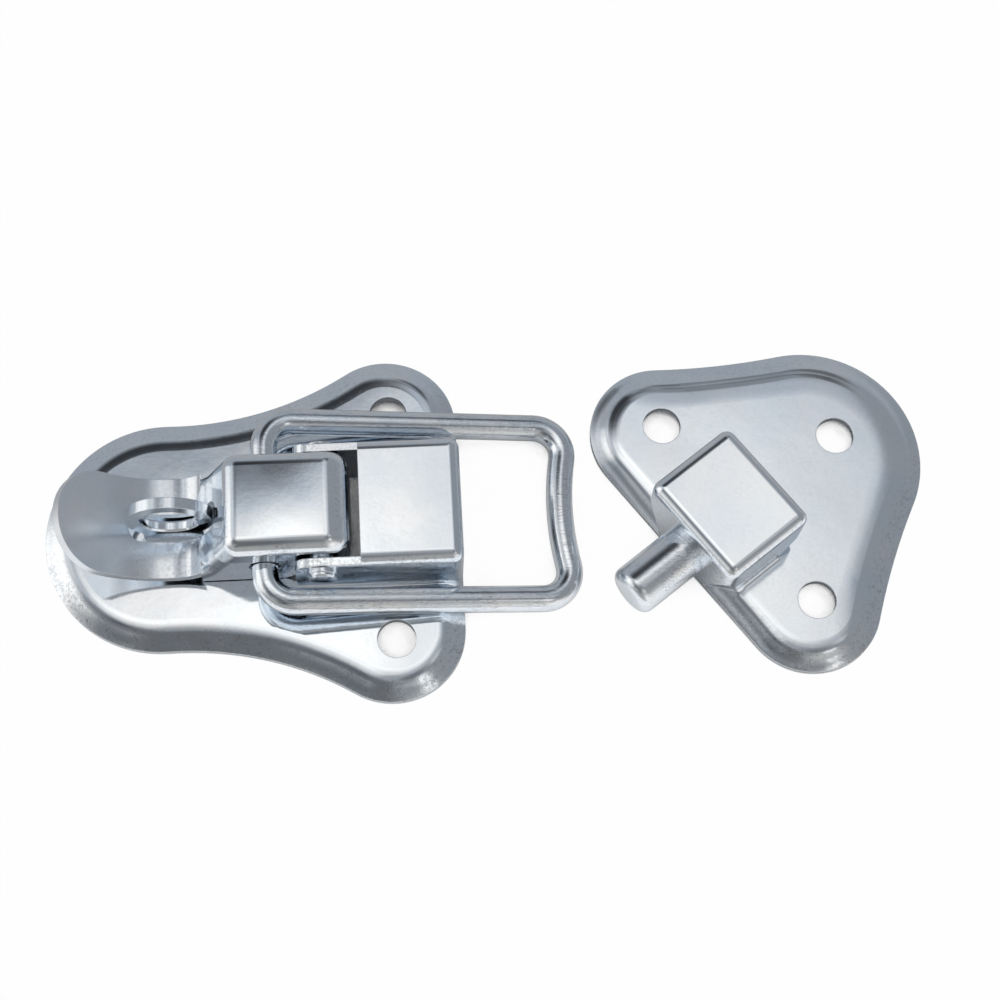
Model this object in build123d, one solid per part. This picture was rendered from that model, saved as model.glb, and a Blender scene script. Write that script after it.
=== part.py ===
from build123d import *
import math
import os

# Over-centre toggle latch with its keeper: pressed steel plates, a wire bail and a padlock staple.
#
# Frame: the origin is on the mounting plane, at the middle of the latch's closing edge, where the
# locating pin goes in. +X points across the joint, towards the keeper's side, and +Z away from the
# mounting plane. Millimetres and degrees. The lever is shut, and the bail lies forward from it
# with its end on the mounting plane. The keeper lies beside it on the same plane, turned.

os.makedirs("parts", exist_ok=True)

# ---- Sheet and pressing ----
sheet = 1.2                     # thickness of the pressed plates and the lever
rim_height = 1.0                # upright cut edge round each plate
field_height = 2.4              # top of the raised field above the mounting plane
skirt_width = 3.0               # sloping border between the cut edge and the field
crease_radius = 5.0             # outer bend between the skirt and the field
top_bend = 1.5                  # outer bend round the top of each pressed box
corner_bend = 1.3               # outer radius of each box's upright corners
foot_bend = 0.7                 # hollow bend where a box wall meets the plate
least_bend = 0.25               # tightest inside bend
screw_hole_radius = 2.6
lance_gap = 0.8                 # slit left beyond the ears

# ---- Latch base ----
base_nose_x = -40.0
base_nose_radius = 16.1
base_lobe_radius = 9.75
base_lobe_y = 14.6
base_waist_radius = 43.9
base_hole_ahead = 0.5           # from the lobe's middle towards the closing edge
base_hole_beyond = 1.45         # from the lobe's middle outwards
base_nose_hole_ahead = -7.5     # from the nose's middle towards the closing edge
housing_half_width = 8.6
housing_height = 12.8
ear_drop = 0.9                  # how much lower the ears are than the housing
ear_margin = 3.6                # from the pivot to the front of the ears
ear_corner = 2.0

# ---- Pivot ----
pivot_x = -18.5
pivot_drop = 2.2                # below the top of the ears
rivet_radius = 1.5
rivet_clearance = 0.05          # radial, in the lever
rivet_head_radius = 2.05
rivet_collar = 0.55             # height of the wider step under the head
rivet_head_height = 1.15
rivet_head_step = 0.2           # how much narrower the head is than its collar
rivet_head_edge = 0.25
rivet_tail_height = 0.4         # the low far end

# ---- Padlock staple ----
staple_x = -38.5
staple_rise = 6.9               # from the field to the middle of the eye
staple_radius = 5.7
staple_hole_radius = 3.75
staple_thickness = 1.5
staple_stem_half = 4.0
staple_tenon_half = 2.5
staple_chamfer = 0.25

# ---- Lever ----
lever_ear_gap = 0.4             # between the lever's side and the ear beside it
lever_roof_rise = 4.8           # from the pivot to the top of the roof
lever_end_reach = 3.9           # from the pivot to the shut end of the lever
lever_end_bend = 3.4
lever_side_bend = 2.1
lever_end_wall = 3.9            # how far the shut end hangs down from the roof
lever_swing_gap = 0.2           # between the turning lever and the housing's roof
slope_bend = 2.2
slope_angle = 64.0
valley_gap = 1.0                # between the lever's lowest bend and the field
valley_rear_radius = 5.0
valley_front_radius = 12.0
tip_angle = 46.5
tip_x = -52.2
flange_gap = 0.4                # between the flanges' foot and the field
flange_past_slope = 0.7         # how far the flanges run on past the foot of the slope
flange_past_bail = 2.1          # how far their level foot runs on behind the bail's hinge
slot_side_gap = 1.15            # between the staple's face and the slot's side
slot_front_gap = 0.1
slot_rear_gap = 0.5

# ---- Bail ----
wire_radius = 1.8
bail_hinge_back = 7.6           # from the pivot towards the nose
bail_hinge_drop = 1.7           # from the pivot downwards
bail_clearance = 0.35           # radial, in the lever's flanges
bail_length = 41.0              # from its hinge line to the middle of the end wire
bail_rivet_gap = 0.25           # between its side and the rivet's head, where it lies closest
bail_shift = 0.85               # the loose bail lies this far to one side
bail_taper = 0.35               # how much nearer its sides come at the end
bail_corner = 3.9
bail_bow_radius = 40.0          # the end wire bows inwards
bail_grip = 2.8                 # how far its ends reach in past the lever's sides

# ---- Keeper ----
keeper_gap = 13.55              # from the bail's end to the middle of the keeper's closing edge
keeper_y = -6.3
keeper_turn = 36.0              # from +X to the direction its nose points
keeper_nose_x = -23.3
keeper_nose_radius = 15.85
keeper_lobe_radius = 9.65
keeper_lobe_y = 15.7
keeper_waist_radius = 99.5
keeper_hole_ahead = -0.6        # from the lobe's middle towards the closing edge
keeper_hole_beyond = 0.4        # from the lobe's middle outwards
keeper_nose_hole_ahead = -4.9   # from the nose's middle towards the closing edge
catch_half_width = 8.3
catch_height = 12.6
catch_length = 13.9             # from the closing edge to the back of the catch lip
catch_wire_gap = 0.6            # between the bail's end and the lip over it
catch_slant = 4.0               # how far the foot of the notch lies forward of the lip
cheek_back = 3.2                # its lower front corners are cut this far back along the sides,
cheek_across = 4.2              # this far along the closing edge
cheek_up = 10.0                 # and this high

# ---- Locating pin ----
pin_height = 4.8
pin_radius = 3.5
pin_length = 10.0
pin_tip_round = 1.3
pin_clearance = 0.15            # radial, in the latch's closing wall
tail_radius = 2.4
tail_head_radius = 3.3
tail_head_height = 0.8

# ---- Where things come out ----
base_hole_x = base_hole_ahead - base_lobe_radius
base_hole_y = base_lobe_y + base_hole_beyond
base_nose_hole_x = base_nose_x + base_nose_hole_ahead
keeper_hole_x = keeper_hole_ahead - keeper_lobe_radius
keeper_hole_y = keeper_lobe_y + keeper_hole_beyond
keeper_nose_hole_x = keeper_nose_x + keeper_nose_hole_ahead
skirt_slope = (field_height - rim_height) / skirt_width
sheet_on_slope = sheet * math.hypot(1, skirt_slope)

ear_height = housing_height - ear_drop
ear_reach = ear_margin - pivot_x
pivot_z = ear_height - pivot_drop
staple_z = field_height + staple_rise

lever_half_width = housing_half_width - sheet - lever_ear_gap
lever_top = pivot_z + lever_roof_rise
lever_end_x = pivot_x + lever_end_reach
lever_end_bottom = lever_top - lever_end_wall
lever_bend_reach = math.hypot(lever_end_reach - lever_end_bend, lever_roof_rise - lever_end_bend)
lever_swing = lever_bend_reach + lever_end_bend
housing_length = -pivot_x - lever_swing - lever_swing_gap
valley_x = staple_x
valley_top = field_height + valley_gap + sheet
slot_half_width = staple_thickness / 2 + slot_side_gap
slot_front_x = staple_x - staple_radius - slot_front_gap
slot_rear_x = staple_x + staple_radius + slot_rear_gap

slope_down = Vector(-math.cos(math.radians(slope_angle)), -math.sin(math.radians(slope_angle)))
slope_out = Vector(slope_down.Y, -slope_down.X)
tip_up = Vector(-math.cos(math.radians(tip_angle)), math.sin(math.radians(tip_angle)))
tip_out = Vector(tip_up.Y, -tip_up.X)
valley_rear = Vector(valley_x, valley_top + valley_rear_radius)
valley_front = Vector(valley_x, valley_top + valley_front_radius)
slope_foot = valley_rear - slope_out * valley_rear_radius
tip_foot = valley_front - tip_out * valley_front_radius
flange_front_x = slope_foot.X - flange_past_slope
flange_bottom = field_height + flange_gap

bail_hinge_x = pivot_x - bail_hinge_back
bail_hinge_z = pivot_z - bail_hinge_drop
bail_hole_radius = wire_radius + bail_clearance
flange_rear_x = bail_hinge_x + flange_past_bail
bail_half_width = housing_half_width + rivet_head_height + bail_rivet_gap + bail_shift + wire_radius
bail_end_half_width = bail_half_width - bail_taper
bail_end_inset = lever_half_width - bail_grip
bail_angle = math.degrees(math.asin((bail_hinge_z - wire_radius) / bail_length))
bail_end_x = bail_hinge_x + bail_length * math.cos(math.radians(bail_angle)) + wire_radius

keeper_x = bail_end_x + keeper_gap
catch_lip_bottom = field_height + 2 * wire_radius + catch_wire_gap
catch_notch_length = catch_length - catch_slant
pin_hole_radius = pin_radius + pin_clearance


def toward(start, goal, distance):
    """The point at this distance from start, on the line to goal."""
    return start + (goal - start).normalized() * distance


def mirrored(point):
    return Vector(point.X, -point.Y)


def plate_outline(nose_x, nose_radius, lobe_y, lobe_radius, waist_radius, inset, height):
    """Three-cornered outline, every side moved in by inset: a straight closing edge on x = 0, a
    round lobe at each end of it, hollow waists and a round nose."""
    nose = Vector(nose_x, 0)
    lobe = Vector(-lobe_radius, lobe_y)
    span = (lobe - nose).length
    to_nose = nose_radius + waist_radius
    to_lobe = lobe_radius + waist_radius
    along = (to_nose**2 - to_lobe**2 + span**2) / (2 * span)
    aside = math.sqrt(to_nose**2 - along**2)
    unit = (lobe - nose).normalized()
    waist = nose + unit * along + Vector(-unit.Y, unit.X) * aside

    nose_tip = Vector(nose_x - nose_radius + inset, 0)
    nose_end = toward(nose, waist, nose_radius - inset)
    waist_middle = toward(waist, (nose + lobe) / 2, waist_radius + inset)
    lobe_start = toward(lobe, waist, lobe_radius - inset)
    lobe_middle = toward(lobe, lobe + Vector(-1, 4), lobe_radius - inset)
    lobe_end = Vector(-inset, lobe_y)
    with BuildSketch(Plane.XY.offset(height)) as sketch:
        with BuildLine():
            ThreePointArc(mirrored(nose_end), nose_tip, nose_end)
            ThreePointArc(nose_end, waist_middle, lobe_start)
            ThreePointArc(lobe_start, lobe_middle, lobe_end)
            Line(lobe_end, mirrored(lobe_end))
            ThreePointArc(mirrored(lobe_end), mirrored(lobe_middle), mirrored(lobe_start))
            ThreePointArc(mirrored(lobe_start), mirrored(waist_middle), mirrored(nose_end))
        make_face()
    return sketch.sketch


def base_outline(inset, height):
    return plate_outline(base_nose_x, base_nose_radius, base_lobe_y, base_lobe_radius,
                         base_waist_radius, inset, height)


def keeper_outline(inset, height):
    return plate_outline(keeper_nose_x, keeper_nose_radius, keeper_lobe_y, keeper_lobe_radius,
                         keeper_waist_radius, inset, height)


def rounded_block(length, half_width, height, corner, bend):
    """A block behind the closing edge with rounded upright corners and a rounded top."""
    block = Box(length, 2 * half_width, height, align=(Align.MAX, Align.CENTER, Align.MIN))
    block = fillet(block.edges().filter_by(Axis.Z), corner)
    return fillet(block.edges().group_by(Axis.Z)[-1], bend)


def cheek_cut(half_width, inset):
    """What comes off a block's lower front corner, and its mirror image: all that lies outside a
    slanted cheek moved in by inset."""
    beyond = foot_bend + 0.1
    lean = math.sqrt(1 / cheek_back**2 + 1 / cheek_across**2 + 1 / cheek_up**2)
    grow = 1 + inset * lean + beyond / cheek_back + beyond / cheek_across
    corner = Vector(beyond, half_width + beyond, 0)
    tips = [corner + Vector(-cheek_back * grow, 0, 0), corner + Vector(0, -cheek_across * grow, 0),
            corner + Vector(0, 0, cheek_up * grow)]
    sides = [(corner, tips[0], tips[1]), (corner, tips[1], tips[2]), (corner, tips[2], tips[0]), tips]
    cut = Solid(Shell([Face(Wire.make_polygon(side)) for side in sides]))
    return cut + mirror(cut, Plane.XZ)


def outer_form(outline, length, half_width, height, cheeks):
    """The solid under a pressing's outer skin, with its bends."""
    rim = extrude(outline(0, 0), rim_height)
    skirt = loft([outline(0, rim_height), outline(skirt_width, field_height)], ruled=True)
    plate = rim + skirt
    form = plate + rounded_block(length, half_width, height, corner_bend, top_bend)
    low = form.edges().filter_by_position(Axis.Z, rim_height, field_height)
    feet = [e for e in low if abs(e.center().Y) < half_width + 0.1 and -length - 0.1 < e.center().X < -0.1]
    form = fillet(feet, foot_bend)
    level = form.edges().filter_by_position(Axis.Z, field_height - 0.01, field_height + 0.01)
    clear = half_width + foot_bend + 0.1
    crease = [e for e in level if abs(e.center().Y) > clear or e.center().X < -length - foot_bend - 0.1]
    form = fillet(crease, crease_radius)
    if cheeks:
        form -= cheek_cut(half_width, 0) - plate
    return form


def inner_form(outline, length, half_width, height, cheeks):
    """The space under a pressing's sheet, one thickness inside its outer skin."""
    foot = (sheet_on_slope - rim_height) / skirt_slope
    top = foot + (field_height - sheet) / skirt_slope
    dish = loft([outline(foot, 0), outline(top, field_height - sheet)], ruled=True)
    corner = max(corner_bend - sheet, least_bend)
    bend = max(top_bend - sheet, least_bend)
    box = rounded_block(length - 2 * sheet, half_width - sheet, height - sheet, corner, bend)
    box = Pos(-sheet, 0, 0) * box
    if cheeks:
        box -= cheek_cut(half_width, sheet)
    return dish + box


def pressing(outline, length, half_width, height, cheeks=False):
    """A plate with a box drawn up from it, all one sheet."""
    outer = outer_form(outline, length, half_width, height, cheeks)
    return outer - inner_form(outline, length, half_width, height, cheeks)


def cross_prism(points, half_width):
    """A prism along Y with this outline of (x, z) points."""
    face = make_face(Plane.XZ * Polyline(*points, close=True))
    return extrude(face, half_width, both=True)


def cut_behind(length, width, height):
    """A block from x = 0 towards -x and from z = 0 upwards, for trimming."""
    return Box(length, width, height, align=(Align.MAX, Align.CENTER, Align.MIN))


def hole_up(x, y, radius):
    return Pos(x, y, 0) * Cylinder(radius, 4 * field_height)


def disc_up(radius, height):
    return Cylinder(radius, height, align=(Align.CENTER, Align.CENTER, Align.MIN))


def hole_across(x, z, radius):
    return Pos(x, 0, z) * Rot(90, 0, 0) * Cylinder(radius, 4 * housing_half_width)


def base_plate():
    """Plate, housing and two ears from one sheet."""
    body = pressing(base_outline, ear_reach + lance_gap + sheet, housing_half_width, housing_height)
    wide = 4 * housing_half_width
    body -= Pos(-housing_length, 0, ear_height) * cut_behind(ear_reach, wide, housing_height)
    inside = 2 * (housing_half_width - sheet)
    body -= Pos(-housing_length, 0, field_height) * cut_behind(ear_reach, inside, housing_height)
    body -= Pos(-ear_reach, 0, field_height) * cut_behind(4 * sheet, wide, housing_height)
    tops = [e for e in body.edges().filter_by(Axis.Y)
            if abs(e.center().X + ear_reach) < 0.01 and abs(e.center().Z - ear_height) < 0.01]
    body = fillet(tops, ear_corner)
    for x, y in [(base_hole_x, base_hole_y), (base_hole_x, -base_hole_y), (base_nose_hole_x, 0)]:
        body -= hole_up(x, y, screw_hole_radius)
    body -= Pos(0, 0, pin_height) * Rot(0, 90, 0) * Cylinder(pin_hole_radius, 4 * sheet)
    body -= hole_across(pivot_x, pivot_z, rivet_radius)
    body -= Pos(staple_x, 0, 0) * Box(2 * staple_tenon_half, staple_thickness, 4 * field_height)
    return body


def keeper_plate():
    """The keeper: plate and catch from one sheet, open behind under the catch's lip."""
    body = pressing(keeper_outline, catch_length, catch_half_width, catch_height, cheeks=True)
    behind = -catch_length - 4 * sheet
    notch = cross_prism([(-catch_notch_length, field_height), (-catch_length, catch_lip_bottom),
                         (behind, catch_lip_bottom), (behind, field_height)], 2 * catch_half_width)
    body -= notch
    for x, y in [(keeper_hole_x, keeper_hole_y), (keeper_hole_x, -keeper_hole_y), (keeper_nose_hole_x, 0)]:
        body -= hole_up(x, y, screw_hole_radius)
    body -= Pos(0, 0, pin_height) * Rot(0, 90, 0) * Cylinder(tail_radius, 4 * sheet)
    return body


def locating_pin():
    """The pin, shouldered on the keeper's closing wall and headed over inside it."""
    shank = disc_up(pin_radius, pin_length)
    shank = fillet(shank.edges().group_by(Axis.Z)[-1], pin_tip_round)
    tail = Pos(0, 0, -sheet) * disc_up(tail_radius, sheet)
    head = Pos(0, 0, -sheet - tail_head_height) * disc_up(tail_head_radius, tail_head_height)
    return Pos(0, 0, pin_height) * Rot(0, 90, 0) * (shank + tail + head)


def on_keeper(piece):
    """A piece drawn with its closing edge on the latch's, moved to where the keeper lies."""
    return Pos(keeper_x, keeper_y, 0) * Rot(0, 0, 180 + keeper_turn) * piece


def slope_bend_centre():
    """Where the bend from the roof to the slope turns: below the roof and behind the slope."""
    beside = slope_foot - slope_out * slope_bend
    rise = (lever_top - slope_bend - beside.Y) / -slope_down.Y
    return beside - slope_down * rise


def under_skin(inset, half_width):
    """The space under the lever's upper skin, moved in by inset: down the shut end, over the roof,
    down the slope, through the valley and up past the tip."""
    end_x = lever_end_x - inset
    top = lever_top - inset
    end_centre = Vector(lever_end_x - lever_end_bend, lever_top - lever_end_bend)
    end_middle = toward(end_centre, end_centre + Vector(1, 1), lever_end_bend - inset)
    roof_centre = slope_bend_centre()
    roof_middle = toward(roof_centre, roof_centre + slope_out + Vector(0, 1), slope_bend - inset)
    slope_top = toward(roof_centre, roof_centre + slope_out, slope_bend - inset)
    foot = slope_foot - slope_out * inset
    foot_middle = toward(valley_rear, valley_rear - slope_out - Vector(0, 1), valley_rear_radius + inset)
    lowest = Vector(valley_x, valley_top - inset)
    front_middle = toward(valley_front, valley_front - tip_out - Vector(0, 1), valley_front_radius + inset)
    front = tip_foot - tip_out * inset
    past_x = tip_x - lever_top
    past_tip = front + tip_up * ((front.X - past_x) / -tip_up.X)
    with BuildSketch(Plane.XZ) as sketch:
        with BuildLine():
            Line((past_x, -lever_top), (end_x, -lever_top))
            Line((end_x, -lever_top), (end_x, end_centre.Y))
            ThreePointArc((end_x, end_centre.Y), end_middle, (end_centre.X, top))
            Line((end_centre.X, top), (roof_centre.X, top))
            ThreePointArc((roof_centre.X, top), roof_middle, slope_top)
            Line(slope_top, foot)
            ThreePointArc(foot, foot_middle, lowest)
            ThreePointArc(lowest, front_middle, front)
            Line(front, past_tip)
            Line(past_tip, (past_x, -lever_top))
        make_face()
    return extrude(sketch.sketch, half_width, both=True)


def channel_form(inset):
    """The same space with the sides bent over it, moved in by inset too."""
    form = under_skin(inset, lever_half_width - inset)
    side = [e for e in form.edges().filter_by(Axis.X) if abs(e.center().Z - lever_top + inset) < 0.01]
    return fillet(side, lever_side_bend - inset)


def square_to(centre, along, out):
    """A plane on the lever's skin, its z axis out of the skin, for a cut through the sheet there."""
    return Plane((centre.X, 0, centre.Y), x_dir=(along.X, 0, along.Y), z_dir=(out.X, 0, out.Y))


def slot_cut():
    """The slot that lets the staple through, cut square to the sheet from slope to valley."""
    through = 3 * sheet
    down = (slope_foot.X - slot_rear_x) / slope_down.X
    rear = slope_foot - slope_down * (down - slot_half_width)
    end_turn = math.asin((valley_x - slot_front_x) / valley_front_radius)
    turned = end_turn - slot_half_width / valley_front_radius
    front_out = Vector(math.sin(turned), math.cos(turned))
    front = valley_front - front_out * valley_front_radius
    points = [rear + slope_out * through, rear - slope_out * through,
              Vector(valley_x, valley_top - through),
              front - front_out * through, front + front_out * through]
    cut = cross_prism([(p.X, p.Y) for p in points], slot_half_width)
    post = Cylinder(slot_half_width, 2 * through)
    cut += square_to(rear, slope_down, slope_out) * post
    return cut + square_to(front, Vector(-front_out.Y, front_out.X), front_out) * post


def flange_side():
    """The lever's outline in side view: round about the pivot, then down to the flanges' foot."""
    high = 2 * lever_top
    with BuildSketch(Plane.XZ) as sketch:
        with Locations((pivot_x, pivot_z)):
            Circle(lever_end_reach)
        with BuildLine():
            Polyline((lever_end_x, high), (flange_front_x, high), (flange_front_x, flange_bottom),
                     (flange_rear_x, flange_bottom), (lever_end_x, high))
        make_face()
        make_hull()
    return extrude(sketch.sketch, 2 * lever_half_width, both=True)


def toggle_lever():
    """Roof, two flanges and shut end bent from one sheet, with the finger paddle beyond them."""
    channel = (channel_form(0) - channel_form(sheet)) & flange_side()
    under_end = Box(3 * sheet, 2 * (lever_half_width - sheet), lever_top,
                    align=(Align.CENTER, Align.CENTER, Align.MAX))
    channel -= Pos(lever_end_x, 0, lever_end_bottom) * under_end
    paddle = under_skin(0, lever_half_width) - under_skin(sheet, 2 * lever_half_width)
    size = 6 * lever_top
    ahead = Box(size, size, size, align=(Align.MAX, Align.CENTER, Align.CENTER))
    paddle &= Pos(flange_front_x, 0, 0) * ahead
    tip = tip_foot + tip_up * ((tip_foot.X - tip_x) / -tip_up.X)
    past = Box(size, size, size, align=(Align.MIN, Align.CENTER, Align.CENTER))
    past -= Cylinder(lever_half_width, size)
    paddle -= square_to(tip - tip_up * lever_half_width, tip_up, tip_out) * past
    lever = channel + paddle - slot_cut()
    lever -= hole_across(pivot_x, pivot_z, rivet_radius + rivet_clearance)
    return lever - hole_across(bail_hinge_x, bail_hinge_z, bail_hole_radius)


def pivot_rivet():
    """A shank through the ears, with a stepped head in front and its far end set down low."""
    shank = Cylinder(rivet_radius, 2 * housing_half_width)
    collar = disc_up(rivet_head_radius, rivet_collar)
    head = disc_up(rivet_head_radius - rivet_head_step, rivet_head_height)
    head = chamfer(head.edges().group_by(Axis.Z)[-1], rivet_head_edge)
    tail = disc_up(rivet_head_radius, rivet_tail_height)
    tail = chamfer(tail.edges().group_by(Axis.Z)[-1], rivet_tail_height / 2)
    outside = Pos(0, 0, housing_half_width)
    rivet = shank + outside * (collar + head) + Rot(180, 0, 0) * outside * tail
    return Pos(pivot_x, 0, pivot_z) * Rot(90, 0, 0) * rivet


def bail():
    """One round wire: in through the lever, along each side and across in a shallow inward bow."""
    hinge_corner = Vector(bail_corner, bail_half_width - bail_corner)
    end_corner = Vector(bail_length - bail_corner, bail_end_half_width - bail_corner)
    reach = math.sqrt((bail_bow_radius + bail_corner)**2 - end_corner.Y**2)
    bow = Vector(end_corner.X + reach, 0)
    side = (end_corner - hinge_corner).normalized()
    out = Vector(-side.Y, side.X)
    hinge = Vector(0, hinge_corner.Y)
    hinge_middle = toward(hinge_corner, hinge_corner + out + Vector(-1, 0), bail_corner)
    side_start = hinge_corner + out * bail_corner
    side_end = end_corner + out * bail_corner
    end_middle = toward(end_corner, end_corner + out + (bow - end_corner).normalized(), bail_corner)
    bow_start = toward(end_corner, bow, bail_corner)
    with BuildLine(Plane.XY) as path:
        Line((0, bail_end_inset), hinge)
        ThreePointArc(hinge, hinge_middle, side_start)
        Line(side_start, side_end)
        ThreePointArc(side_end, end_middle, bow_start)
        ThreePointArc(bow_start, (bow.X - bail_bow_radius, 0), mirrored(bow_start))
        ThreePointArc(mirrored(bow_start), mirrored(end_middle), mirrored(side_end))
        Line(mirrored(side_end), mirrored(side_start))
        ThreePointArc(mirrored(side_start), mirrored(hinge_middle), mirrored(hinge))
        Line(mirrored(hinge), (0, -bail_end_inset))
    start = Plane((0, bail_end_inset, 0), x_dir=(1, 0, 0), z_dir=(0, 1, 0))
    wire = sweep(start * Circle(wire_radius), path=path.line)
    return Pos(bail_hinge_x, bail_shift, bail_hinge_z) * Rot(0, bail_angle, 0) * wire


def padlock_staple():
    """An upright eye plate with a tenon through the base."""
    centre = Pos(staple_x, staple_z)
    foot = Pos(staple_x, field_height)
    stem_height = staple_z - field_height
    face = centre * Circle(staple_radius)
    face += foot * Rectangle(2 * staple_stem_half, stem_height, align=(Align.CENTER, Align.MIN))
    face += foot * Rectangle(2 * staple_tenon_half, sheet, align=(Align.CENTER, Align.MAX))
    face -= centre * Circle(staple_hole_radius)
    plate = extrude(Plane.XZ * face, staple_thickness / 2, both=True)
    circles = plate.edges().filter_by(GeomType.CIRCLE)
    rims = [e for e in circles if abs(e.radius - staple_hole_radius) < 0.01]
    return chamfer(rims, staple_chamfer)


pieces = {
    "base_plate": base_plate(),
    "toggle_lever": toggle_lever(),
    "pivot_rivet": pivot_rivet(),
    "bail": bail(),
    "padlock_staple": padlock_staple(),
    "keeper_plate": on_keeper(keeper_plate()),
    "locating_pin": on_keeper(locating_pin()),
}
for name, piece in pieces.items():
    export_step(piece, f"parts/{name}.step")
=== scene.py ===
# %% [markdown]
# # A toggle latch with a padlock eye
#
# The real latch is pressed from sheet steel and bent from wire, then plated with
# bright zinc. Its solids come ready made from the frame, in metres, with the
# mounting plane at z = 0 and the latch's closing edge on the line x = 0. Nothing
# here changes their shapes: this script gives them their finish, their light and
# their camera.

import math

import bpy
from mathutils import Matrix, Vector

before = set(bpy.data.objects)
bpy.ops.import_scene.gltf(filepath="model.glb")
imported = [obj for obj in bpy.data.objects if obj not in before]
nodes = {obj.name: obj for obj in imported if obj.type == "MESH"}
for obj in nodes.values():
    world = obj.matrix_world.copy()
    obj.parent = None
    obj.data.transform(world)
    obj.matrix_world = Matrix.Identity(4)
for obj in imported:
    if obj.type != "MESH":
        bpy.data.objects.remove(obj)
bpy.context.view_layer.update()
print("pieces:", sorted(nodes))

# %% [markdown]
# ## Shader maths written as expressions
#
# A material is a graph of nodes, which is slow to read when every link is written
# out. The small class below wraps a socket, so that `grain * 0.5 + 0.1` adds the
# Math nodes by itself. `Graph` has a method for each thing this script asks of the
# nodes more than once. Colours are blended by one of those, because a Math node
# would turn a colour grey.

# %% A socket that can be calculated with


class Wire:
    """One output socket. An operator adds the Math node that works it out."""

    def __init__(self, shop, socket):
        self.shop = shop
        self.socket = socket

    def _with(self, operation, first, second):
        return self.shop.node("ShaderNodeMath", {"operation": operation}, {0: first, 1: second})

    def __add__(self, other):
        return self._with("ADD", self, other)

    def __radd__(self, other):
        return self._with("ADD", other, self)

    def __sub__(self, other):
        return self._with("SUBTRACT", self, other)

    def __rsub__(self, other):
        return self._with("SUBTRACT", other, self)

    def __mul__(self, other):
        return self._with("MULTIPLY", self, other)

    def __rmul__(self, other):
        return self._with("MULTIPLY", other, self)

    def __pow__(self, other):
        return self._with("POWER", self, other)


class Graph:
    """A node tree being built: `node` adds any node and hands back one of its outputs."""

    def __init__(self, owner):
        owner.use_nodes = True
        self.owner = owner
        self.tree = owner.node_tree
        self.tree.nodes.clear()

    def node(self, kind, settings=None, sockets=None, out=0):
        made = self.tree.nodes.new(kind)
        for key, value in (settings or {}).items():
            setattr(made, key, value)
        for key, value in (sockets or {}).items():
            if isinstance(value, Wire):
                self.tree.links.new(value.socket, made.inputs[key])
            else:
                made.inputs[key].default_value = value
        return Wire(self, made.outputs[out])

    def mix(self, amount, first, second):
        """The colour `first` turned towards `second` by `amount`."""
        return self.node("ShaderNodeMix", {"data_type": "RGBA"},
                         {0: amount, 6: first, 7: second}, out=2)

    def limit(self, value, low, high, to_low=0.0, to_high=1.0):
        """`value` from low..high carried onto to_low..to_high, and held there."""
        return self.node("ShaderNodeMapRange", {"clamp": True},
                         {0: value, 1: low, 2: high, 3: to_low, 4: to_high})

    def place(self, scale=(1.0, 1.0, 1.0), turn=(0.0, 0.0, 0.0)):
        """Where on the piece a point is, in metres, stretched by `scale`."""
        where = self.node("ShaderNodeTexCoord", {}, {}, out="Object")
        return self.node("ShaderNodeMapping", {}, {"Vector": where, "Scale": scale, "Rotation": turn})

    def axis(self, where, name):
        """One coordinate of `where`, in millimetres."""
        return self.node("ShaderNodeSeparateXYZ", {}, {0: where}, out=name) * 1000.0

    def sine(self, value):
        return self.node("ShaderNodeMath", {"operation": "SINE"}, {0: value})

    def size_of(self, value):
        """`value` without its sign."""
        return self.node("ShaderNodeMath", {"operation": "ABSOLUTE"}, {0: value})

    def near(self, value, level):
        """One where `value` is within 0.1 of `level`, and nothing where it is 0.5 away."""
        return self.limit(self.size_of(value - level), 0.5, 0.1)

    def above_zero(self, value, most=60.0):
        """`value` from zero up to `most`, and zero where it is less than that."""
        return self.limit(value, 0.0, most, 0.0, most)

    def noise(self, where, scale, detail=3.0, roughness=0.5):
        return self.node("ShaderNodeTexNoise", {}, {"Vector": where, "Scale": scale,
                                                    "Detail": detail, "Roughness": roughness})

    def done(self, shader, kind="ShaderNodeOutputMaterial"):
        output = self.tree.nodes.new(kind)
        self.tree.links.new(shader.socket, output.inputs["Surface"])
        print(self.owner.name, "made of", len(self.tree.nodes), "nodes")
        return self.owner


def new_finish(name):
    return Graph(bpy.data.materials.new(name))


# %% [markdown]
# ## Bright zinc plating
#
# Zinc plated steel is a mirror with a faint cold blue in it. What makes it look
# real is what disturbs the mirror: a fine speckle left by the plating bath, the
# grain of the rolled sheet, soft waves from the press, a haze that comes and goes,
# a few long scratches, and small dark specks in the colour. These are partly pits
# where the press has stretched the sheet, and partly painted shade, most of it on
# the latch's near half, standing in for the dark speckled reflections of the near skirts.
# All of them are noise at different sizes. A Bevel node rounds the sharp cut edges
# for the light alone, as tumbling rounds the real ones.
#
# From here on, heights and places on the sheet are in millimetres, so the Bump
# node's Distance is one millimetre.

# %% Colours and heights of the plating
ZINC = (0.80, 0.87, 0.94, 1.0)
PALE_ZINC = (0.88, 0.915, 0.955, 1.0)
# the dark of the specks: real pits, and painted shade on the near half of the pressings
PIT_AND_SHADE = (0.24, 0.245, 0.26, 1.0)
MILLIMETRE = 0.001

FIELD = 2.4             # height of both plates' level field
HOUSING_ROOF = 12.8
CATCH_ROOF = 12.5
LEVER_ROOF = 14.5
PIT_DEPTH = 0.008
print("the levels of the sheet, in mm:", FIELD, HOUSING_ROOF, CATCH_ROOF, LEVER_ROOF)

# %% [markdown]
# ## Press marks
#
# A press never leaves a sheet quite flat, and a mirror shows it at once. These
# three functions give the height that each such mark adds to the Bump node. The
# first leans or rounds a roof a little. The second bends the field down towards
# the skirt, round the nose of the plate and along its two straight sides. The
# third makes faint ridges round the skirt.

# %% Heights that the press leaves


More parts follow.
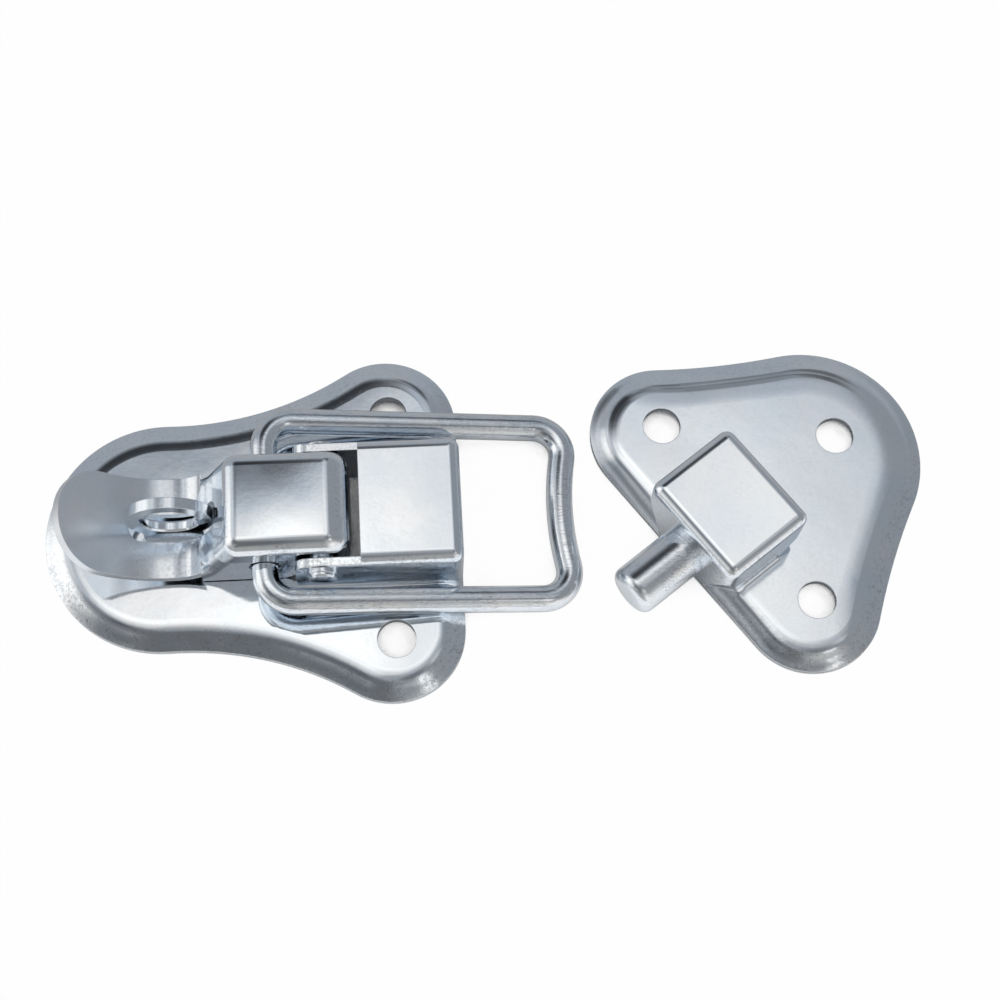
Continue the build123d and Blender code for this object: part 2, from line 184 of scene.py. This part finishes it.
def crown_height(work, x, y, z, crown):
    """A roof's lean and rounding, which begin part of the way up its walls.

    height = u * lean_x + v * lean_y - (u * u + v * v) * rounding,
    where u and v are the distances from `middle`.
    """
    u = x - crown["middle"][0]
    v = y - crown["middle"][1]
    lean = u * crown["lean_x"] + v * crown["lean_y"] - (u * u + v * v) * crown["rounding"]
    return lean * work.limit(z, crown["from_height"], crown["to_height"])


def dish_height(work, x, y, dish):
    """How far the field has bent down beside its skirt: -steepness * beyond ** 2.

    `beyond` counts from a border at `start` from the nose's middle. The border is
    an arc round the nose, and on each side a straight line that faces
    `side_angle` away from the way the nose points. It fades out beside the lobes.
    """
    points = math.radians(dish["nose_points"])
    side = math.radians(dish["side_angle"])
    u = x - dish["nose_middle"][0]
    v = y - dish["nose_middle"][1]
    ahead = u * math.cos(points) + v * math.sin(points)
    aside = work.size_of(v * math.cos(points) - u * math.sin(points))
    outward = work.above_zero(ahead * math.cos(side) + aside * math.sin(side))
    round_nose = work.above_zero(ahead * math.sin(side) - aside * math.cos(side))
    reach = (outward * outward + round_nose * round_nose) ** 0.5
    width = dish["end"] - dish["start"]
    beyond = work.limit(reach, dish["start"], dish["end"], 0.0, width)
    beside_lobe = work.limit(ahead, *dish["fades_along"])
    return beyond * beyond * beside_lobe * (-dish["steepness"])


def ridge_height(work, z, swell, depth):
    """Faint ridges round the skirt, made uneven by `swell` and ending below the field."""
    return work.sine(z * 5.2 + swell * 5.0) * depth * work.limit(z, 2.6, 2.1)


# %% [markdown]
# ## The plating on pressed sheet
#
# All four pressings share one function. It marks the bends and the skirts, which
# are neither at a level height nor on the rubbed finger pad, and gives them more
# dark specks than the rest. The near half of the latch, towards -Y, gets the most.
# The specks are partly plating pits and partly painted shade, standing in for the
# dark speckled reflections of the near skirts. Noise scales count per metre: at
# 2000 a grain is about half a millimetre across.

# %% The plating on the pressed sheet


def plated_sheet(name, rolled_along, speckle, haze, smooth, pitting_and_shade, flats=(),
                 ridges=0.0, crown=None, pad=None, dish=None):
    """Plating on sheet, from noises of several sizes.

    `flats` are the heights of its level faces. `pitting_and_shade` is how many
    dark specks the rest gets: partly plating pits, partly painted shade, most of
    them on the near half, towards -Y.
    Roughness = smooth + haze * (cloudy noise) + scratches + dark specks.
    Height = press waves + rolled grain - scratches + speckle * (fine noise)
             - pits + press marks.
    """
    work = new_finish(name)
    flat = work.place()
    x = work.axis(flat, "X")
    y = work.axis(flat, "Y")
    z = work.axis(flat, "Z")

    # painted shade, partly real pits: more dark specks towards -Y, the near half, and on bends and
    # skirts
    bends_and_near_shade = work.limit(y, 4.0, -9.0, 0.3 * pitting_and_shade, pitting_and_shade)
    for level in flats:
        bends_and_near_shade = (1.0 - work.near(z, level)) * bends_and_near_shade
    rough = smooth
    if pad:
        padded = work.limit(x, pad["none_at"], pad["full_at"])
        bends_and_near_shade = (1.0 - padded) * bends_and_near_shade
        rough = padded * pad["rougher"] + smooth

    along = work.place(scale=(1.0, 14.0, 14.0), turn=(0.0, 0.0, rolled_along))
    across = work.place(scale=(1.0, 90.0, 90.0), turn=(0.0, 0.0, rolled_along + 0.35))
    rolled = work.noise(along, 420.0, detail=4.0, roughness=0.6)
    cloud = work.limit(work.noise(flat, 110.0, detail=4.0, roughness=0.6), 0.38, 0.66)
    scratch = work.limit(work.noise(across, 16.0, detail=2.0, roughness=0.5), 0.715, 0.75)
    swell = work.noise(flat, 60.0, detail=1.0, roughness=0.4)
    ripple = work.noise(flat, 260.0, detail=2.0, roughness=0.5)
    fine = work.noise(flat, 2000.0, detail=3.0, roughness=0.6)
    patchy = work.limit(work.noise(flat, 190.0, detail=3.0, roughness=0.6), 0.35, 0.65, 0.3, 1.0)
    pitted = work.limit(work.noise(flat, 2000.0, detail=4.0, roughness=0.75), 0.49, 0.62)
    # the dark specks: plating pits, and painted shade where the mask above is strongest
    dark_specks = (bends_and_near_shade * 0.8 + 0.12) * patchy * pitted

    colour = work.mix(dark_specks * 0.55, work.mix(cloud, ZINC, PALE_ZINC), PIT_AND_SHADE)
    rough = rough + cloud * haze + scratch * 0.03 + dark_specks * 0.1
    height = (swell * 0.16 + ripple * 0.012 + rolled * 0.0006 - scratch * 0.0006
              + fine * patchy * (bends_and_near_shade * 4.0 + 0.6) * speckle - pitted * patchy * bends_and_near_shade * PIT_DEPTH)
    if ridges:
        height = height + ridge_height(work, z, swell, ridges)
    if crown:
        crowned = crown_height(work, x, y, z, crown)
        if pad:
            crowned = (1.0 - padded) * crowned
        height = height + crowned
    if dish:
        height = height + dish_height(work, x, y, dish)

    edge = work.node("ShaderNodeBevel", {"samples": 4}, {"Radius": 0.16 * MILLIMETRE})
    bump = work.node("ShaderNodeBump", {}, {"Strength": 1.0, "Distance": MILLIMETRE,
                                            "Height": height, "Normal": edge})
    shader = work.node("ShaderNodeBsdfPrincipled", {}, {
        "Base Color": colour, "Metallic": 1.0, "Roughness": rough, "Normal": bump})
    return work.done(shader)


# %% [markdown]
# ## The four pressings
#
# Each pressing has its own measure of speckle, haze and wear. The crown of each
# roof, the bent-down border of the keeper's field and the rubbed end of the
# lever's finger pad are given here by where they lie.

# %% The four pressings
KEEPER_ROLLED_ALONG = 0.63      # radians: the keeper lies turned, and its grain with it

base_finish = plated_sheet(
    "zinc on the latch base", 0.0, speckle=0.0045, haze=0.05, smooth=0.05, pitting_and_shade=1.0,
    flats=(FIELD, HOUSING_ROOF), ridges=0.02,
    crown={"from_height": 5.0, "to_height": 12.6, "middle": (-5.0, 0.0),
           "lean_x": 0.0, "lean_y": 0.02, "rounding": 0.0})
keeper_finish = plated_sheet(
    "zinc on the keeper", KEEPER_ROLLED_ALONG, speckle=0.0045, haze=0.07, smooth=0.08, pitting_and_shade=1.0,
    flats=(FIELD, CATCH_ROOF), ridges=0.04,
    crown={"from_height": 5.0, "to_height": 12.4, "middle": (37.0, 0.0),
           "lean_x": 0.03, "lean_y": 0.015, "rounding": 0.0},
    dish={"nose_middle": (48.63, 7.40), "nose_points": 36.0, "side_angle": 58.3,
          "start": 9.0, "end": 12.4, "fades_along": (-14.0, -7.0), "steepness": 0.021})
lever_finish = plated_sheet(
    "zinc on the lever", 0.0, speckle=0.0045, haze=0.05, smooth=0.06, pitting_and_shade=0.8,
    flats=(LEVER_ROOF,),
    crown={"from_height": 10.0, "to_height": 14.4, "middle": (-22.0, 0.0),
           "lean_x": 0.0, "lean_y": 0.0, "rounding": 0.003},
    pad={"full_at": -47.0, "none_at": -37.0, "rougher": 0.28})
staple_finish = plated_sheet(
    "zinc on the padlock eye", 0.0, speckle=0.0045, haze=0.05, smooth=0.07, pitting_and_shade=0.15)

# %% [markdown]
# ## The plating on wire and turned parts
#
# Wire is drawn through a die, so its marks run along it. The pin and the rivet are
# headed and turned, and keep faint marks of that. A stretched noise does both, and
# a second one places the dark pits in streaks along the same way.

# %% The plating on wire, rivet and pin


def plated_round(name, stretch, turned_by, speckle, haze, worn_edge):
    """Plating on round stock: noise drawn out along it, streaks of pits, fine speckle."""
    work = new_finish(name)
    flat = work.place()
    lengthwise = work.place(scale=stretch, turn=(0.0, 0.0, turned_by))
    drawn = work.noise(lengthwise, 700.0, detail=4.0, roughness=0.6)
    cloud = work.limit(work.noise(flat, 160.0, detail=3.0), 0.38, 0.66)
    fine = work.noise(flat, 3000.0, detail=3.0, roughness=0.6)
    patchy = work.limit(work.noise(flat, 220.0, detail=3.0, roughness=0.6), 0.35, 0.62, 0.1, 1.0)
    streak = work.noise(lengthwise, 900.0, detail=4.0, roughness=0.7)
    dark_specks = work.limit(streak, 0.48, 0.68) * patchy

    colour = work.mix(dark_specks * 0.6, work.mix(cloud, ZINC, PALE_ZINC), PIT_AND_SHADE)
    rough = 0.07 + cloud * haze + dark_specks * 0.1
    height = drawn * 0.008 + fine * patchy * speckle

    edge = work.node("ShaderNodeBevel", {"samples": 4}, {"Radius": worn_edge * MILLIMETRE})
    bump = work.node("ShaderNodeBump", {}, {"Strength": 1.0, "Distance": MILLIMETRE,
                                            "Height": height, "Normal": edge})
    shader = work.node("ShaderNodeBsdfPrincipled", {}, {
        "Base Color": colour, "Metallic": 1.0, "Roughness": rough, "Normal": bump})
    return work.done(shader)


wire_finish = plated_round(
    "zinc on drawn wire", (0.5, 8.0, 8.0), 0.0, speckle=0.012, haze=0.05, worn_edge=0.12)
rivet_finish = plated_round(
    "zinc on the rivet", (1.0, 1.0, 1.0), 0.0, speckle=0.008, haze=0.05, worn_edge=0.12)
pin_finish = plated_round(
    "zinc on the pin", (1.0, 6.0, 6.0), KEEPER_ROLLED_ALONG, speckle=0.014, haze=0.06, worn_edge=0.6)

# %% [markdown]
# ## Every piece gets its finish
#
# The materials go into the slots the pieces came with. The pieces themselves stay
# as they are.

# %% Give out the finishes
finishes = {
    "base_plate": base_finish,
    "keeper_plate": keeper_finish,
    "toggle_lever": lever_finish,
    "padlock_staple": staple_finish,
    "bail": wire_finish,
    "pivot_rivet": rivet_finish,
    "locating_pin": pin_finish,
}
for name, finish in finishes.items():
    for place in nodes[name].material_slots:
        place.material = finish
    print(name, "slots", len(nodes[name].material_slots))

# %% [markdown]
# ## The floor and the room
#
# A mirror shows what stands round it, so plated metal is lit by its surroundings.
# The floor is a plain pale sheet, lit by the room. The camera sees it as clean
# white, except where the latch covers it so closely that it lies in shadow: the
# Ambient Occlusion node tells where that is, and that shadow is painted into the
# floor's white glow. Metal sees it as white too, with painted light, brighter in
# front of the latch than behind it, and painted shade under the latch's own dark
# underside.

# %% Floor


def floor_sheet(half, level):
    """One flat square, 2 * half wide, centred under the latch at z = level."""
    mesh = bpy.data.meshes.new("floor")
    corners = [(-half, -half, level), (half, -half, level), (half, half, level), (-half, half, level)]
    mesh.from_pydata(corners, [], [(0, 1, 2, 3)])
    sheet = bpy.data.objects.new("floor", mesh)
    bpy.context.scene.collection.objects.link(sheet)
    return sheet


floor = floor_sheet(3.0, -0.0002)
work = new_finish("pale floor")
grain = work.noise(work.place(), 60.0, detail=4.0)
shade = work.mix(grain, (0.80, 0.80, 0.80, 1.0), (0.83, 0.83, 0.83, 1.0))
matt = work.node("ShaderNodeBsdfDiffuse", {}, {"Color": shade})
white = work.node("ShaderNodeEmission", {}, {"Color": (1.0, 1.0, 1.0, 1.0), "Strength": 1.0})
seen = work.node("ShaderNodeLightPath", {}, {}, out="Is Camera Ray")
mirrored = work.node("ShaderNodeLightPath", {}, {}, out="Is Glossy Ray")
open_to_light = work.node("ShaderNodeAmbientOcclusion", {"samples": 8}, {"Distance": 0.02}, out="AO")
# painted shadow and painted light: the floor's white glow dims where the latch shades it, and in the
# metal it is brighter in front than behind
uncovered = work.limit(open_to_light, 0.14, 0.27)
clear = work.limit(open_to_light, 0.40, 0.90)
painted_front_light = work.limit(work.axis(work.place(), "Y"), 18.0, -14.0, 0.05, 0.90)
whiteness = seen * uncovered * 0.985 + mirrored * painted_front_light * clear
both = work.node("ShaderNodeMixShader", {}, {0: whiteness, 1: matt, 2: white})
floor.data.materials.append(work.done(both))

# %% [markdown]
# ## The room
#
# The room is one even grey, with soft round lamps and reflectors on it, which each
# face of the latch picks up in turn: the level faces see what is overhead, and the
# skirts and walls what stands round about. The lamps whose level is below zero are
# the dark things of a room, such as a corner or the edge of a table. Bright parts
# are a little warmer than dark ones, and what stands in front is warmer than what
# stands behind. The camera itself sees plain white.

# %% The room and its lamps

# each lamp: compass angle and angle from straight up of its middle, how far from
# the middle it is evenly bright, where it fades out, all in degrees, and its level.
# These are not hand-set values. The room's level and all but three of the lamps came
# from another program, a least-squares fit, and were then rounded. Some levels, and
# angles of three of those lamps, were changed. The shelf, the spot on the left and
# the table edge were listed one by one.
ROOM_LEVEL = 0.38
COOL = (0.955, 1.0, 1.07, 1.0)
WARM = (1.035, 1.0, 0.96, 1.0)
LAMPS = {
    "overhead right": (78, 14, 1, 13, 0.40),
    "overhead far right": (53, 12, 9, 20, 0.20),
    "overhead middle": (136, 16, 1, 13, 0.34),
    "overhead left": (182, 14, 4, 13, 0.30),
    "top light": (111, 27, 27, 32, 0.16),
    "left window": (178, 70, 6, 35, 0.75),
    "left window's top": (166, 49, 14, 19, 0.17),
    "left wall": (219, 52, 12, 22, 0.12),
    "front right lamp": (296, 58, 1, 28, 0.17),
    "front right reflector": (305, 85, 4, 31, 0.55),
    "small front lamp": (312, 38, 4, 7, 0.65),
    "small right lamp": (352, 25, 1, 8, 0.26),
    "dark corner behind": (110, 40, 4, 24, -0.50),
    "dark shelf behind": (72, 48, 4, 14, -0.24),
    "dark spot on the left": (205, 40, 7, 20, -0.16),
    "dark table edge": (264, 40, 7, 31, -0.09),
    "dark corner in front": (237, 41, 16, 24, -0.14),
    "dark wall on the right": (10, 45, 22, 53, -0.09),
    "dark gap in front": (303, 21, 1, 11, -0.13),
    "dark strip overhead": (87, 24, 4, 9, -0.16),
    "dark mark overhead": (76, 16, 1, 6, -0.20),
}


def toward_lamp(compass, from_top):
    """The unit vector at a compass angle from +X and an angle from straight up."""
    a = math.radians(compass)
    t = math.radians(from_top)
    return (math.sin(t) * math.cos(a), math.sin(t) * math.sin(a), math.cos(t))


def glow(work, where, compass, from_top, even, faded, level):
    """`level` inside the even part, and an S-shaped fall to nothing where it is faded."""
    cosine = work.node("ShaderNodeVectorMath", {"operation": "DOT_PRODUCT"},
                       {0: where, 1: toward_lamp(compass, from_top)}, out="Value")
    return work.node("ShaderNodeMapRange", {"interpolation_type": "SMOOTHSTEP"}, {
        0: cosine, 1: math.cos(math.radians(faded)), 2: math.cos(math.radians(even)), 3: 0.0, 4: level})


world = bpy.data.worlds.new("room")
bpy.context.scene.world = world
work = Graph(world)
where = work.node("ShaderNodeTexCoord", {}, {}, out="Generated")
seen = work.node("ShaderNodeLightPath", {}, {}, out="Is Camera Ray")
level = ROOM_LEVEL
for lamp in LAMPS.values():
    level = glow(work, where, *lamp) + level
behind = work.node("ShaderNodeSeparateXYZ", {}, {0: where}, out="Y")
warmth = work.limit(level - behind * 0.50, 0.25, 0.80)
tint = work.mix(warmth, COOL, WARM)
colour = work.mix(seen, tint, (1.0, 1.0, 1.0, 1.0))
strength = level * (1.0 - seen) + seen
room = work.node("ShaderNodeBackground", {}, {"Color": colour, "Strength": strength})
work.done(room, "ShaderNodeOutputWorld")
print("lamps and dark places in the room:", len(LAMPS))

# %% [markdown]
# ## The camera
#
# The camera stands a quarter of a metre above the latch and a little nearer the
# viewer, and looks down at it at about seventy degrees.

# %% Camera

# the three directions, the stand and the lens came from another program, which
# solved for the camera; they are not hand-set values either
right = Vector((0.99791315, -0.05593217, 0.0322636))
upward = Vector((0.04202858, 0.9419701, 0.33305544))
back = Vector((-0.04901986, -0.33100441, 0.9423551))
stand = Vector((-0.00748756, -0.08469230, 0.25160377))

lens = bpy.data.cameras.new("camera")
lens.lens = 69.795
lens.sensor_width = 36.0
lens.sensor_fit = "HORIZONTAL"
lens.clip_start = 0.01
lens.clip_end = 20.0
camera = bpy.data.objects.new("camera", lens)
turn = Matrix((right, upward, back)).transposed().to_4x4()
camera.matrix_world = Matrix.Translation(stand) @ turn
bpy.context.scene.collection.objects.link(camera)
bpy.context.scene.camera = camera
bpy.context.scene.view_settings.view_transform = "Standard"
print("camera looks along", tuple(round(c, 3) for c in -back))
